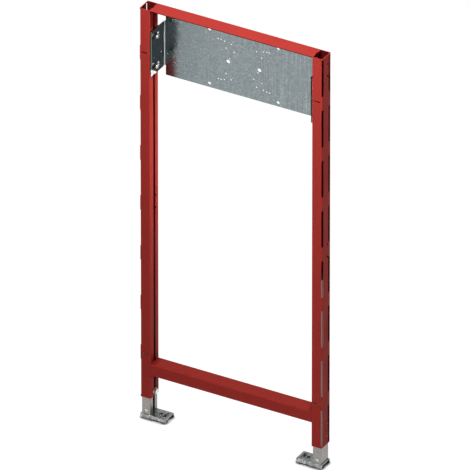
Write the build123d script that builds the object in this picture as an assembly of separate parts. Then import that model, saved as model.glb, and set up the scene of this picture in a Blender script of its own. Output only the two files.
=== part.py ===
from build123d import *
import os

# Tap installation frame: two folded posts, two rails, a punched mounting plate
# on brackets, and two telescopic legs on foot channels.
# Millimetres. +X is to the right, -Y is the front, +Z is up, and z = 0 is the floor.

# Driving dimensions of the whole frame
FRAME_WIDTH = 490.0
FRAME_HEIGHT = 1116.0
LEG_EXPOSURE = 58.0

# Posts: folded C-section with its opening towards the other post
POST_WIDTH = 28.0
POST_DEPTH = 40.0
POST_WALL = 2.0
POST_CORNER = 2.5
C_OPENING = 9.0

# Long windows along the outer side of each post
WINDOW_LENGTH = 98.5
WINDOW_BRIDGE = 37.5
WINDOW_TOP_LAND = 2.5
WINDOW_END_LAND = 3.0
FRONT_WINDOW_ON_FRONT = 2.4
FRONT_WINDOW_ON_SIDE = 6.4
REAR_WINDOW_WIDTH = 7.0
REAR_WINDOW_LAND = 3.5

# Cross holes and front slits of each post
CROSS_HOLE_RADIUS = 3.0
CROSS_HOLE_SETBACK = 25.5
CROSS_HOLE_END = 40.0
CROSS_HOLE_HALF_PITCH = 16.5
SLIT_DROP = 117.0
SLIT_RISE = 121.0
SLIT_LENGTH = 14.0
SLIT_HEIGHT = 3.0

# Rails between the posts
TOP_RAIL_WALL = 2.0
TOP_RAIL_FLANGE = 25.0
BOTTOM_RAIL_HEIGHT = 31.0
BOTTOM_RAIL_RISE = 63.5

# Mounting plate between the bracket webs, behind the posts
PLATE_GAP = 0.5
PLATE_HEIGHT = 166.0
PLATE_THICKNESS = 2.0
PLATE_SETBACK = 61.5
PLATE_DROP = 35.0
CORNER_HOLE_RADIUS = 4.0
CORNER_HOLE_X = 92.0
CORNER_HOLE_Z = 73.0
TAP_HOLE_RADIUS = 5.0
TAP_HOLE_X = 41.7
SMALL_HOLE_RADIUS = 2.2
SMALL_HOLES = [(34.3, 48.0), (52.0, 52.0), (61.2, 54.0), (68.5, 54.0), (47.7, 34.3)]
PAIRED_HOLES = [(38.0, -8.0), (26.6, -28.6)]
EDGE_HOLES = [(4.5, -25.0), (23.0, -45.0)]

# Brackets that carry the plate on the posts
BRACKET_HEIGHT = 120.0
BRACKET_THICKNESS = 2.0
BRACKET_BEND = 3.0
BRACKET_RISE = 1.5
BRACKET_FLANGE = 40.0
BRACKET_CUT_Y = 27.0
BRACKET_CUT_Z = 19.0
BRACKET_SLOT_START = 3.0
BRACKET_SLOT_END = 39.5
BRACKET_SLOT_HEIGHT = 8.4
KEY_SLOT_START = 2.0
KEY_SLOT_END = 15.8
KEY_SLOT_HEIGHT = 4.6
KEY_SLOT_RISE = 8.0
BRACKET_PIN_RADIUS = 3.0
BRACKET_PINS = [(15.0, -14.0), (48.0, -15.0)]
PAD_THICKNESS = 2.5
PAD_INSET = 0.5
PAD_SLOT_END = 30.0

# Hammer-head bolts of the brackets, with washer and nut
BOLT_RADIUS = 4.0
BOLT_HALF_PITCH = 40.0
BOLT_RISE = 3.0
HAMMER_LENGTH = 22.0
HAMMER_WIDTH = 8.0
HAMMER_THICKNESS = 4.0
WASHER_RADIUS = 8.0
WASHER_THICKNESS = 1.2
NUT_ACROSS_FLATS = 13.0
NUT_HEIGHT = 5.5
BOLT_END = 1.2
THREAD_CLEARANCE = 0.1

# Telescopic legs: smaller C-section that slides in the post
LEG_CLEARANCE = 0.5
LEG_WALL = 2.0
LEG_CORNER = 2.0
LEG_OPENING = 10.0
LEG_LENGTH = 505.0
LEG_WINDOW_MARGIN = 2.0
LEG_WINDOW_ON_REAR = 2.4
LEG_WINDOW_TOP_LAND = 20.0
LEG_WINDOW_FOOT_LAND = 98.0

# Clamp at the lower end of each post
CLAMP_RISE = 12.5
CLAMP_PLATE_DEPTH = 16.0
CLAMP_PLATE_HEIGHT = 20.0
CLAMP_PLATE_THICKNESS = 4.0
CLAMP_GAP = 0.3
CLAMP_BOLT_END = 2.0
CLAMP_COLLAR_RADIUS = 7.6
CLAMP_HEAD_HEIGHT = 5.3

# Foot channels, open downwards, with tabs that hold the legs
FOOT_LENGTH = 69.0
FOOT_HEIGHT = 12.0
FOOT_WALL = 2.5
FOOT_CORNER = 3.0
FOOT_NOTCH_START = 34.0
FOOT_NOTCH_END = 56.0
FOOT_NOTCH_HEIGHT = 3.0
FOOT_SLOT_X = [45.0, 58.0]
FOOT_SLOT_LENGTHS = [12.0, 24.0]
FOOT_SLOT_WIDTH = 8.0
TAB_WIDTH = 14.0
TAB_HEIGHT = 20.0
TAB_THICKNESS = 2.5
SCREW_RISE = 8.6
SCREW_HEAD_RADIUS = 4.0
SCREW_HEAD_HEIGHT = 1.6
SCREW_RADIUS = 2.4
SCREW_LENGTH = 5.0
SCREW_CLEARANCE = 0.1

# Places worked out from the driving dimensions
OVERALL_DEPTH = PLATE_SETBACK + PLATE_THICKNESS + BRACKET_THICKNESS
LEFT = -FRAME_WIDTH / 2
FRONT = -OVERALL_DEPTH / 2
BACK_OF_POST = FRONT + POST_DEPTH
MID_POST_X = LEFT + POST_WIDTH / 2
MID_POST_Y = FRONT + POST_DEPTH / 2
POST_INNER = LEFT + POST_WIDTH
POST_LENGTH = FRAME_HEIGHT - LEG_EXPOSURE
PLATE_MID_Z = FRAME_HEIGHT - PLATE_DROP - PLATE_HEIGHT / 2
PAD_FACE = POST_INNER + PAD_THICKNESS
WEB_FACE = PAD_FACE + BRACKET_THICKNESS
PLATE_LEFT = WEB_FACE + BRACKET_BEND + PLATE_GAP
BRACKET_MID_Z = PLATE_MID_Z + BRACKET_RISE
WINDOW_PITCH = WINDOW_LENGTH + WINDOW_BRIDGE
WINDOW_COUNT = int((POST_LENGTH - WINDOW_TOP_LAND - WINDOW_END_LAND + WINDOW_BRIDGE) / WINDOW_PITCH)
REAR_WINDOW_BACK = BACK_OF_POST - REAR_WINDOW_LAND
REAR_WINDOW_FRONT = REAR_WINDOW_BACK - REAR_WINDOW_WIDTH
LEG_INSET = POST_WALL + LEG_CLEARANCE
LEG_WIDTH = POST_WIDTH - 2 * LEG_INSET
LEG_DEPTH = POST_DEPTH - 2 * LEG_INSET
LEG_FRONT = FRONT + LEG_INSET
LEG_BACK = LEG_FRONT + LEG_DEPTH
LEG_TOP = FOOT_HEIGHT + LEG_LENGTH


def block(x0, x1, y0, y1, z0, z1):
    """Box between two corners."""
    middle = Pos((x0 + x1) / 2, (y0 + y1) / 2, (z0 + z1) / 2)
    return middle * Box(x1 - x0, y1 - y0, z1 - z0)


def rod_x(radius, x0, x1, y, z):
    """Round rod along X."""
    return Pos((x0 + x1) / 2, y, z) * Rot(0, 90, 0) * Cylinder(radius, x1 - x0)


def rod_y(radius, y0, y1, x, z):
    """Round rod along Y."""
    return Pos(x, (y0 + y1) / 2, z) * Rot(90, 0, 0) * Cylinder(radius, y1 - y0)


def hexagon_x(across_flats, x0, x1, y, z):
    """Hexagonal prism along X."""
    outline = RegularPolygon(across_flats / 2, 6, major_radius=False)
    return Pos(x0, y, z) * Rot(0, 90, 0) * extrude(outline, amount=x1 - x0)


def slot_x(y0, y1, height, z, x0, x1):
    """Slot with round ends that runs along Y and is cut along X."""
    outline = SlotOverall(y1 - y0, height)
    upright = Plane(origin=(x0, (y0 + y1) / 2, z), x_dir=(0, 1, 0), z_dir=(1, 0, 0))
    return extrude(upright * outline, amount=x1 - x0)


def c_section(width, depth, wall, corner, opening):
    """Folded C-section in the XY plane, open in the middle of its +X side."""
    outside = RectangleRounded(width, depth, corner)
    inside = RectangleRounded(width - 2 * wall, depth - 2 * wall, corner - wall + wall / 8)
    gap = Pos(width / 2, 0) * Rectangle(2 * wall + 1, opening)
    return outside - inside - gap


def mirrored(part):
    """The same piece on the right-hand side."""
    return mirror(part, about=Plane.YZ)


def make_post():
    """Left post, standing from the end of the exposed leg to the top of the frame."""
    section = c_section(POST_WIDTH, POST_DEPTH, POST_WALL, POST_CORNER, C_OPENING)
    post = Pos(MID_POST_X, MID_POST_Y, LEG_EXPOSURE) * extrude(section, amount=POST_LENGTH)
    for index in range(WINDOW_COUNT):
        top = FRAME_HEIGHT - WINDOW_TOP_LAND - index * WINDOW_PITCH
        bottom = top - WINDOW_LENGTH
        post -= block(LEFT - 1, LEFT + FRONT_WINDOW_ON_FRONT,
                      FRONT - 1, FRONT + FRONT_WINDOW_ON_SIDE, bottom, top)
        post -= block(LEFT - 1, LEFT + POST_WALL + 1, REAR_WINDOW_FRONT, REAR_WINDOW_BACK, bottom, top)
    for middle in (CROSS_HOLE_END, POST_LENGTH / 2, POST_LENGTH - CROSS_HOLE_END):
        for side in (-1, 1):
            z = LEG_EXPOSURE + middle + side * CROSS_HOLE_HALF_PITCH
            post -= rod_x(CROSS_HOLE_RADIUS, LEFT - 1, POST_INNER + 1, FRONT + CROSS_HOLE_SETBACK, z)
    for z in (LEG_EXPOSURE + SLIT_RISE, FRAME_HEIGHT - SLIT_DROP):
        post -= block(MID_POST_X - SLIT_LENGTH / 2, MID_POST_X + SLIT_LENGTH / 2,
                      FRONT - 1, FRONT + POST_WALL + 1, z - SLIT_HEIGHT / 2, z + SLIT_HEIGHT / 2)
    return post


def make_top_rail():
    """Angle between the post tops: a flat top with a stiffening flange at the back."""
    flat = block(POST_INNER, -POST_INNER, FRONT, BACK_OF_POST, FRAME_HEIGHT - TOP_RAIL_WALL, FRAME_HEIGHT)
    flange = block(POST_INNER, -POST_INNER, BACK_OF_POST - TOP_RAIL_WALL, BACK_OF_POST,
                   FRAME_HEIGHT - TOP_RAIL_FLANGE, FRAME_HEIGHT)
    return flat + flange


def make_bottom_rail():
    """C-section between the posts, open underneath."""
    section = c_section(BOTTOM_RAIL_HEIGHT, POST_DEPTH, POST_WALL, POST_CORNER, C_OPENING)
    middle_z = LEG_EXPOSURE + BOTTOM_RAIL_RISE + BOTTOM_RAIL_HEIGHT / 2
    across = Plane(origin=(POST_INNER, MID_POST_Y, middle_z), x_dir=(0, 0, -1), z_dir=(1, 0, 0))
    return extrude(across * section, amount=-2 * POST_INNER)


def plate_holes():
    """Centres and radii of the plate's holes, from the middle of the plate."""
    holes = []
    for sx in (-1, 1):
        holes.append((sx * TAP_HOLE_X, 0.0, TAP_HOLE_RADIUS))
        for inset, z in EDGE_HOLES:
            holes.append((-sx * (PLATE_LEFT + inset), z, SMALL_HOLE_RADIUS))
        for x, z in PAIRED_HOLES:
            holes.append((sx * x, sx * z, SMALL_HOLE_RADIUS))
        for sz in (-1, 1):
            holes.append((sx * CORNER_HOLE_X, sz * CORNER_HOLE_Z, CORNER_HOLE_RADIUS))
            for x, z in SMALL_HOLES:
                holes.append((sx * x, sz * z, SMALL_HOLE_RADIUS))
    return holes


def make_plate():
    """Mounting plate with its holes for different taps."""
    front = FRONT + PLATE_SETBACK
    back = front + PLATE_THICKNESS
    plate = block(PLATE_LEFT, -PLATE_LEFT, front, back,
                  PLATE_MID_Z - PLATE_HEIGHT / 2, PLATE_MID_Z + PLATE_HEIGHT / 2)
    for x, z, radius in plate_holes():
        plate -= rod_y(radius, front - 1, back + 1, x, PLATE_MID_Z + z)
    return plate


def bolt_heights():
    """Heights of the two bolts of one bracket."""
    middle = PLATE_MID_Z + BOLT_RISE
    return (middle - BOLT_HALF_PITCH, middle + BOLT_HALF_PITCH)


def make_bracket():
    """Left bracket: a web along the post's inner face and a flange behind the plate."""
    low = BRACKET_MID_Z - BRACKET_HEIGHT / 2
    high = BRACKET_MID_Z + BRACKET_HEIGHT / 2
    back = FRONT + OVERALL_DEPTH
    path = FilletPolyline((PAD_FACE, FRONT), (PAD_FACE, back), (PAD_FACE + BRACKET_FLANGE, back),
                          radius=BRACKET_BEND + BRACKET_THICKNESS)
    strip = offset(path, BRACKET_THICKNESS, side=Side.RIGHT, closed=True)
    bracket = Pos(0, 0, low) * extrude(make_face(strip), amount=high - low, dir=(0, 0, 1))
    corner = Polygon((FRONT - 1, low - 1), (FRONT + BRACKET_CUT_Y, low - 1),
                     (FRONT + BRACKET_CUT_Y, low), (FRONT, low + BRACKET_CUT_Z),
                     (FRONT - 1, low + BRACKET_CUT_Z), align=None)
    upright = Plane(origin=(PAD_FACE - 1, 0, 0), x_dir=(0, 1, 0), z_dir=(1, 0, 0))
    bracket -= extrude(upright * corner, amount=BRACKET_THICKNESS + 2)
    for z in bolt_heights():
        bracket -= slot_x(FRONT + BRACKET_SLOT_START, FRONT + BRACKET_SLOT_END,
                          BRACKET_SLOT_HEIGHT, z, PAD_FACE - 1, WEB_FACE + 1)
        bracket -= slot_x(FRONT + KEY_SLOT_START, FRONT + KEY_SLOT_END,
                          KEY_SLOT_HEIGHT, z + KEY_SLOT_RISE, PAD_FACE - 1, WEB_FACE + 1)
    for y, z in BRACKET_PINS:
        bracket -= rod_x(BRACKET_PIN_RADIUS, PAD_FACE - 1, WEB_FACE + 1, FRONT + y, PLATE_MID_Z + z)
    for inset, z in EDGE_HOLES:
        bracket -= rod_y(SMALL_HOLE_RADIUS, back - BRACKET_THICKNESS - 1, back + 1,
                         PLATE_LEFT + inset, PLATE_MID_Z + z)
    return bracket


def make_pad():
    """White sheet between the left bracket and the post, with slots for the bolts."""
    pad = block(POST_INNER, PAD_FACE, FRONT + PAD_INSET, BACK_OF_POST,
                PLATE_MID_Z - BRACKET_HEIGHT / 2, PLATE_MID_Z + BRACKET_HEIGHT / 2)
    for z in bolt_heights():
        pad -= slot_x(FRONT + BRACKET_SLOT_START, FRONT + PAD_SLOT_END,
                      BRACKET_SLOT_HEIGHT, z, POST_INNER - 1, PAD_FACE + 1)
    return pad


def make_bracket_bolt(z):
    """Hammer-head bolt: its head lies behind the post's lips, its shank points inwards."""
    lips = POST_INNER - POST_WALL
    head = block(lips - HAMMER_THICKNESS, lips, MID_POST_Y - HAMMER_LENGTH / 2,
                 MID_POST_Y + HAMMER_LENGTH / 2, z - HAMMER_WIDTH / 2, z + HAMMER_WIDTH / 2)
    tip = WEB_FACE + WASHER_THICKNESS + NUT_HEIGHT + BOLT_END
    return head + rod_x(BOLT_RADIUS, lips, tip, MID_POST_Y, z)


def make_washer(x, z):
    """Washer along X with a clear hole for the bolt."""
    ring = rod_x(WASHER_RADIUS, x, x + WASHER_THICKNESS, MID_POST_Y, z)
    return ring - rod_x(BOLT_RADIUS + THREAD_CLEARANCE, x - 1, x + WASHER_THICKNESS + 1, MID_POST_Y, z)


def make_nut(z):
    """Hexagon nut against the washer."""
    x = WEB_FACE + WASHER_THICKNESS
    nut = hexagon_x(NUT_ACROSS_FLATS, x, x + NUT_HEIGHT, MID_POST_Y, z)
    return nut - rod_x(BOLT_RADIUS + THREAD_CLEARANCE, x - 1, x + NUT_HEIGHT + 1, MID_POST_Y, z)


def clamp_height():
    """Height of the clamp bolt."""
    return LEG_EXPOSURE + CLAMP_RISE


def clamp_plate_face():
    """Face of the clamp plate that draws against the leg's lips."""
    return POST_INNER - LEG_INSET - LEG_WALL - CLAMP_GAP


def make_clamp_plate():
    """Square nut plate inside the leg."""
    face = clamp_plate_face()
    z = clamp_height()
    plate = block(face - CLAMP_PLATE_THICKNESS, face, MID_POST_Y - CLAMP_PLATE_DEPTH / 2,
                  MID_POST_Y + CLAMP_PLATE_DEPTH / 2, z - CLAMP_PLATE_HEIGHT / 2, z + CLAMP_PLATE_HEIGHT / 2)
    hole = rod_x(BOLT_RADIUS + THREAD_CLEARANCE, face - CLAMP_PLATE_THICKNESS - 1, face + 1, MID_POST_Y, z)
    return plate - hole


def make_clamp_bolt():
    """Hexagon bolt with a collar, from the post's lips into the clamp plate."""
    z = clamp_height()
    collar = rod_x(CLAMP_COLLAR_RADIUS, POST_INNER, POST_INNER + WASHER_THICKNESS, MID_POST_Y, z)
    head_start = POST_INNER + WASHER_THICKNESS
    head = hexagon_x(NUT_ACROSS_FLATS, head_start, head_start + CLAMP_HEAD_HEIGHT, MID_POST_Y, z)
    tip = clamp_plate_face() - CLAMP_PLATE_THICKNESS - CLAMP_BOLT_END
    return collar + head + rod_x(BOLT_RADIUS, tip, head_start, MID_POST_Y, z)


def screw_height():
    """Height of the screw that holds the leg on its foot."""
    return FOOT_HEIGHT + SCREW_RISE


def make_leg():
    """Left leg: it stands on the foot and slides in the post."""
    section = c_section(LEG_WIDTH, LEG_DEPTH, LEG_WALL, LEG_CORNER, LEG_OPENING)
    leg = Pos(MID_POST_X, MID_POST_Y, FOOT_HEIGHT) * extrude(section, amount=LEG_TOP - FOOT_HEIGHT)
    outer = LEFT + LEG_INSET
    leg -= block(outer - 1, outer + LEG_WINDOW_ON_REAR, REAR_WINDOW_FRONT - LEG_WINDOW_MARGIN, LEG_BACK + 1,
                 FOOT_HEIGHT + LEG_WINDOW_FOOT_LAND, LEG_TOP - LEG_WINDOW_TOP_LAND)
    leg -= rod_y(SCREW_HEAD_RADIUS + SCREW_CLEARANCE, LEG_FRONT - 1, LEG_FRONT + LEG_WALL + 1,
                 MID_POST_X, screw_height())
    return leg


def make_foot():
    """Left foot: a channel open downwards, with anchor slots and two tabs inside the leg."""
    foot = block(LEFT, LEFT + FOOT_LENGTH, FRONT, BACK_OF_POST, 0, FOOT_HEIGHT)
    foot = fillet(foot.edges().filter_by(Axis.X).group_by(Axis.Z)[-1], FOOT_CORNER)
    foot -= block(LEFT - 1, LEFT + FOOT_LENGTH + 1, FRONT + FOOT_WALL, BACK_OF_POST - FOOT_WALL,
                  -1, FOOT_HEIGHT - FOOT_WALL)
    foot -= block(LEFT + FOOT_NOTCH_START, LEFT + FOOT_NOTCH_END, FRONT - 1, BACK_OF_POST + 1,
                  -1, FOOT_NOTCH_HEIGHT)
    for x, length in zip(FOOT_SLOT_X, FOOT_SLOT_LENGTHS):
        outline = Pos(LEFT + x, MID_POST_Y, FOOT_HEIGHT - FOOT_WALL - 1) * Rot(0, 0, 90)
        foot -= extrude(outline * SlotOverall(length, FOOT_SLOT_WIDTH), amount=FOOT_WALL + 2)
    inside = LEG_FRONT + LEG_WALL
    for y in (inside, 2 * MID_POST_Y - inside - TAB_THICKNESS):
        foot += block(MID_POST_X - TAB_WIDTH / 2, MID_POST_X + TAB_WIDTH / 2, y, y + TAB_THICKNESS,
                      FOOT_HEIGHT - FOOT_WALL, FOOT_HEIGHT + TAB_HEIGHT)
    foot -= rod_y(SCREW_RADIUS + SCREW_CLEARANCE, inside - 1, inside + TAB_THICKNESS + 1,
                  MID_POST_X, screw_height())
    return foot


def make_foot_screw():
    """Flat-headed screw in the leg's front wall, seated on the foot's front tab."""
    seat = LEG_FRONT + LEG_WALL
    head = rod_y(SCREW_HEAD_RADIUS, seat - SCREW_HEAD_HEIGHT, seat, MID_POST_X, screw_height())
    return head + rod_y(SCREW_RADIUS, seat, seat + SCREW_LENGTH, MID_POST_X, screw_height())


# Pieces of the left side, each repeated on the right
SIDE_PIECES = {
    "post": make_post(),
    "bracket": make_bracket(),
    "bracket_pad": make_pad(),
    "leg": make_leg(),
    "foot": make_foot(),
    "foot_screw": make_foot_screw(),
    "clamp_bolt": make_clamp_bolt(),
    "clamp_plate": make_clamp_plate(),
}
for level, height in zip(("lower", "upper"), bolt_heights()):
    SIDE_PIECES[f"{level}_bracket_bolt"] = make_bracket_bolt(height)
    SIDE_PIECES[f"{level}_bracket_washer"] = make_washer(WEB_FACE, height)
    SIDE_PIECES[f"{level}_bracket_nut"] = make_nut(height)

PIECES = {
    "top_rail": make_top_rail(),
    "bottom_rail": make_bottom_rail(),
    "mounting_plate": make_plate(),
}
for name, piece in SIDE_PIECES.items():
    PIECES[f"left_{name}"] = piece
    PIECES[f"right_{name}"] = mirrored(piece)

os.makedirs("parts", exist_ok=True)
for name, piece in PIECES.items():
    export_step(piece, f"parts/{name}.step")
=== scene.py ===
# %% [markdown]
# A tap installation frame, dressed for its picture.
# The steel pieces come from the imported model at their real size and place, and nothing here moves them.
# This lesson gives each surface its finish, replaces the plain fasteners by formed ones, adds the weld
# seams and then sets up the studio: a pale floor, soft light and a long lens.

# %% Load the frame
import math

import bmesh
import bpy
import numpy as np
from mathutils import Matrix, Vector


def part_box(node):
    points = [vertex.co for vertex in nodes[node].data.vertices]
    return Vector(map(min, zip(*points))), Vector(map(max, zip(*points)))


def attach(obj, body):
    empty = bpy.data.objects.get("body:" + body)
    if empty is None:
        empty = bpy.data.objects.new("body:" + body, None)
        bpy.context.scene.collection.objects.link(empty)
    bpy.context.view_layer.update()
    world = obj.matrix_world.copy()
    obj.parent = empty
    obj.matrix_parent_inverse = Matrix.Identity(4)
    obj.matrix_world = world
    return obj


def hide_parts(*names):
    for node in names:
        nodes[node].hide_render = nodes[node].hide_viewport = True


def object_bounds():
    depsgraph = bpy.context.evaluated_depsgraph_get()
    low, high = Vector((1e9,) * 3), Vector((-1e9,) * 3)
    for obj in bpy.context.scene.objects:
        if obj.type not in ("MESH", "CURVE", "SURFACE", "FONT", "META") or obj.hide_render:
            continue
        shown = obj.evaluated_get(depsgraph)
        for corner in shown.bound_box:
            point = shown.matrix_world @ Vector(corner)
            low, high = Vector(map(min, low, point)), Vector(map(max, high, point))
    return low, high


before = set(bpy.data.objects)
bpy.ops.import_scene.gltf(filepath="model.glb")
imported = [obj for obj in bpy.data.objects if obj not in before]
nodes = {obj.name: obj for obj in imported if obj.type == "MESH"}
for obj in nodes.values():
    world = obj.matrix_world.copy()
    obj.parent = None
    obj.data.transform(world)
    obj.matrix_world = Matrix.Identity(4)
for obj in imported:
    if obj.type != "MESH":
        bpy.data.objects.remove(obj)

cad_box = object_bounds()
SIDES = ("left", "right")
LEVELS = ("lower", "upper")
MM = 0.001
print("pieces from the model:", len(nodes))

# %% [markdown]
# A material is a small graph of nodes. Wiring it by hand takes many lines, so one helper adds a node,
# sets its values and links its inputs, and the cells below then read like recipes. The others work out
# numbers: a sum or product, a smooth step, and a mix of two colours.

# %% Helpers for shader graphs
def add_node(tree, kind, inputs=None, **settings):
    """Adds a node, applies its settings, then fills inputs with values or links."""
    node = tree.nodes.new(kind)
    for name, value in settings.items():
        setattr(node, name, value)
    for name, value in (inputs or {}).items():
        socket = node.inputs[name]
        if isinstance(value, bpy.types.NodeSocket):
            tree.links.new(value, socket)
        else:
            socket.default_value = value
    return node


def combine(tree, kind, first, second):
    """The result of a Math node with two inputs, each a value or a socket."""
    return add_node(tree, "ShaderNodeMath", {0: first, 1: second}, operation=kind).outputs[0]


def ramp(tree, value, low, high, to_low=0.0, to_high=1.0):
    """Smooth step of a value from one range to another."""
    node = add_node(tree, "ShaderNodeMapRange", {"Value": value, "From Min": low, "From Max": high,
                                                 "To Min": to_low, "To Max": to_high},
                    interpolation_type="SMOOTHSTEP")
    return node.outputs["Result"]


def blend_colours(tree, factor, first, second):
    """Two colours mixed by a factor; each may be a value or a socket."""
    node = add_node(tree, "ShaderNodeMix", data_type="RGBA")
    for index, value in ((0, factor), (6, first), (7, second)):
        if isinstance(value, bpy.types.NodeSocket):
            tree.links.new(value, node.inputs[index])
        else:
            node.inputs[index].default_value = value
    return node.outputs[2]


def srgb(red, green, blue):
    """A colour given as 0 to 255 on screen, turned into the linear values that shaders use."""
    def linear(channel):
        c = channel / 255
        return c / 12.92 if c <= 0.04045 else ((c + 0.055) / 1.055) ** 2.4
    return (linear(red), linear(green), linear(blue), 1.0)


print("red on screen 178 is linear", round(srgb(178, 0, 0)[0], 3))

# %% [markdown]
# A pattern has to stay on its piece when the piece moves, so every pattern starts from the place on the
# piece, in metres. The frame is the same left and right: a number without its sign makes one rule serve
# both sides. Noise is the raw stuff of smudges, lines and grain.

# %% Helpers for places and noise
def place_on_piece(tree):
    """The place of a point in its object's own coordinates."""
    return add_node(tree, "ShaderNodeTexCoord").outputs["Object"]


def split_axes(tree, vector):
    """The X, Y and Z of a vector."""
    return add_node(tree, "ShaderNodeSeparateXYZ", {"Vector": vector}).outputs


def without_sign(tree, value):
    """The size of a number, whatever its sign."""
    return add_node(tree, "ShaderNodeMath", {0: value}, operation="ABSOLUTE").outputs[0]


def combine_vectors(tree, kind, first, second=(0.0, 0.0, 0.0)):
    """The result of a Vector Math node with two inputs."""
    return add_node(tree, "ShaderNodeVectorMath", {0: first, 1: second}, operation=kind).outputs[0]


def scaled(tree, vector, factor):
    """A vector times a number."""
    node = add_node(tree, "ShaderNodeVectorMath", {0: vector, "Scale": factor}, operation="SCALE")
    return node.outputs[0]


def noise(tree, place, per_metre, detail, roughness=0.5, output="Fac"):
    """A noise texture with so many waves per metre: a grey from 0 to 1, or a random colour."""
    node = add_node(tree, "ShaderNodeTexNoise", {"Vector": place, "Scale": per_metre, "Detail": detail,
                                                 "Roughness": roughness})
    return node.outputs[output]


place_helpers = (place_on_piece, split_axes, without_sign, combine_vectors, scaled, noise)
print("helpers:", [helper.__name__ for helper in place_helpers])

# %% [markdown]
# Hot-dip zinc freezes into crystals. Each crystal lies at its own small angle, so it mirrors another part
# of the room, and that is the spangle that one sees. A Voronoi texture gives one random colour to each
# cell: the group below reads it as a tilt of the surface and as a small change of shade. Being a group,
# it serves the plate, the brackets, the legs and the feet, each with its own crystal size.

# %% Node group: zinc crystals
MIDDLE_GREY = (0.5, 0.5, 0.5)
WARP_PER_METRE = 90.0
FROST_PER_METRE = 700.0


def new_group(name, inputs, outputs):
    """An empty shader group with named float inputs (name: default) and outputs (name: socket type)."""
    group = bpy.data.node_groups.new(name, "ShaderNodeTree")
    for label, default in inputs.items():
        socket = group.interface.new_socket(label, in_out="INPUT", socket_type="NodeSocketFloat")
        socket.default_value = default
    for label, kind in outputs.items():
        group.interface.new_socket(label, in_out="OUTPUT", socket_type=kind)
    entry = group.nodes.new("NodeGroupInput")
    result = group.nodes.new("NodeGroupOutput")
    return group, entry, result


def make_zinc_crystals():
    """Tilt and shade of zinc crystals: one random vector for each cell of a warped Voronoi texture."""
    group, entry, result = new_group(
        "zinc_crystals", {"Crystals per Metre": 130.0, "Tilt": 0.1, "Warp": 0.004},
        {"Shade": "NodeSocketFloat", "Frost": "NodeSocketFloat", "Normal": "NodeSocketVector"})
    place = place_on_piece(group)
    swirl = combine_vectors(group, "SUBTRACT", noise(group, place, WARP_PER_METRE, 2.0, output="Color"),
                            MIDDLE_GREY)
    place = combine_vectors(group, "ADD", place, scaled(group, swirl, entry.outputs["Warp"]))
    cells = add_node(group, "ShaderNodeTexVoronoi",
                     {"Vector": place, "Scale": entry.outputs["Crystals per Metre"]},
                     feature="F1").outputs["Color"]
    lean = combine_vectors(group, "SUBTRACT", cells, MIDDLE_GREY)
    lean = scaled(group, lean, entry.outputs["Tilt"])
    face = add_node(group, "ShaderNodeNewGeometry").outputs["Normal"]
    tilted = combine_vectors(group, "NORMALIZE", combine_vectors(group, "ADD", face, lean))
    shade = add_node(group, "ShaderNodeSeparateColor", {"Color": cells}).outputs["Red"]
    group.links.new(shade, result.inputs["Shade"])
    group.links.new(noise(group, place, FROST_PER_METRE, 3.0), result.inputs["Frost"])
    group.links.new(tilted, result.inputs["Normal"])
    return group


zinc_crystals = make_zinc_crystals()
print("group:", zinc_crystals.name, "nodes:", len(zinc_crystals.nodes))

# %% [markdown]
# Everything here has been carried, stacked and slid. That leaves two kinds of marks: soft cloudy smudges,
# and fine lines along the length of the profiles. Both are noise, and the lines are noise squeezed across
# and stretched along one axis. The group is shared by the paint and by the zinc.

# %% Node group: handling marks
DRAWN_ALONG_Z = (1.0, 1.0, 0.02)
SMUDGE_RANGE = (0.35, 0.7)
RUB_RANGE = (0.58, 0.75)


def make_handling_marks():
    """Smudges are coarse noise; rubs are noise stretched along Z and kept only at its peaks."""
    group, entry, result = new_group(
        "handling_marks", {"Smudges per Metre": 9.0, "Rubs per Metre": 420.0},
        {"Smudge": "NodeSocketFloat", "Rub": "NodeSocketFloat"})
    place = place_on_piece(group)
    cloud = noise(group, place, entry.outputs["Smudges per Metre"], 4.0, roughness=0.6)
    drawn = add_node(group, "ShaderNodeMapping", {"Vector": place, "Scale": DRAWN_ALONG_Z})
    lines = noise(group, drawn.outputs["Vector"], entry.outputs["Rubs per Metre"], 2.0)
    group.links.new(ramp(group, cloud, *SMUDGE_RANGE), result.inputs["Smudge"])
    group.links.new(ramp(group, lines, *RUB_RANGE), result.inputs["Rub"])
    return group


handling_marks = make_handling_marks()
print("group:", handling_marks.name, "nodes:", len(handling_marks.nodes))

# %% [markdown]
# Materials start from the same few lines, so one helper makes an empty one with a Principled shader, and
# another puts a finished material on pieces of the model.

# %% Helpers for materials
def new_material(name):
    """An empty material with a Principled surface already linked to its output."""
    material = bpy.data.materials.new(name)
    material.use_nodes = True
    tree = material.node_tree
    tree.nodes.clear()
    surface = add_node(tree, "ShaderNodeBsdfPrincipled")
    add_node(tree, "ShaderNodeOutputMaterial", {"Surface": surface.outputs["BSDF"]})
    return material, tree, surface


def use_group(tree, group, **values):
    """Places a node group in a material with its own values."""
    node = add_node(tree, "ShaderNodeGroup", node_tree=group)
    for name, value in values.items():
        node.inputs[name.replace("_", " ")].default_value = value
    return node.outputs


def dress(material, names):
    """Puts one material on pieces of the model, in every slot that they have."""
    for name in names:
        piece = nodes[name]
        if not piece.material_slots:
            piece.data.materials.append(material)
        for slot in piece.material_slots:
            slot.material = material


RED_PIECES = ["top_rail", "bottom_rail"] + [f"{side}_post" for side in SIDES]
print("red pieces:", RED_PIECES)

# %% [markdown]
# The posts and rails are powder coated. The inside of a folded profile and the cut edges of its windows get
# painted shade, a dark red. The place alone tells where that is: the
# outline of a post is a rectangle with round corners, and the formula for the distance to such an outline
# gives the depth under the skin. A painted texture could do the same, but it would not follow the sizes.

# %% Depth under the coat
POST_LOW, POST_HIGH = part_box("right_post")
POST_RADIUS = 2.5 * MM


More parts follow.
